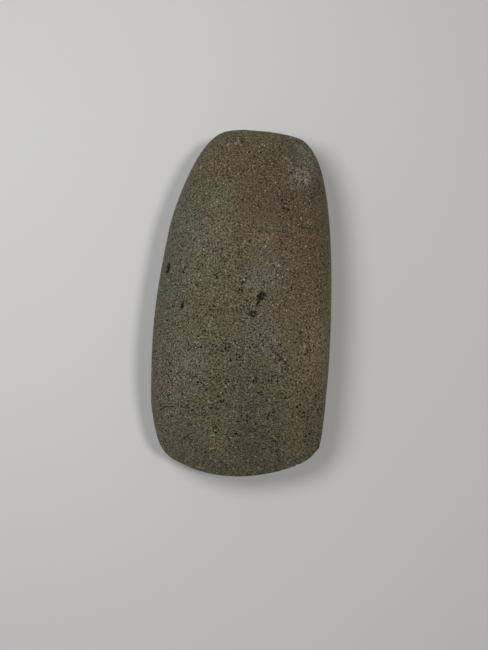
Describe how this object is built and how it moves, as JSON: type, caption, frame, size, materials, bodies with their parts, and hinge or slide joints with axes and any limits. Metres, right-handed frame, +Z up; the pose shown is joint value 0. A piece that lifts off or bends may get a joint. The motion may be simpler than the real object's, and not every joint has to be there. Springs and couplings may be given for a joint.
{
  "type": "polished stone axe head",
  "caption": "Ground and polished stone axe head with a curved cutting edge and a rounded butt, lying flat.",
  "frame": {"origin": "at the bottom of the stone, under the middle of its outline", "axes": "+Y along the stone towards the butt, +X across the blade, +Z up out of the upper face"},
  "size_m": [0.054, 0.105, 0.027],
  "materials": {
    "ground_stone": "semi-matt polish on fine-grained dark greenish brown stone"
  },
  "bodies": {
    "root": {"axe_head": "ground_stone"}
  },
  "joints": []
}
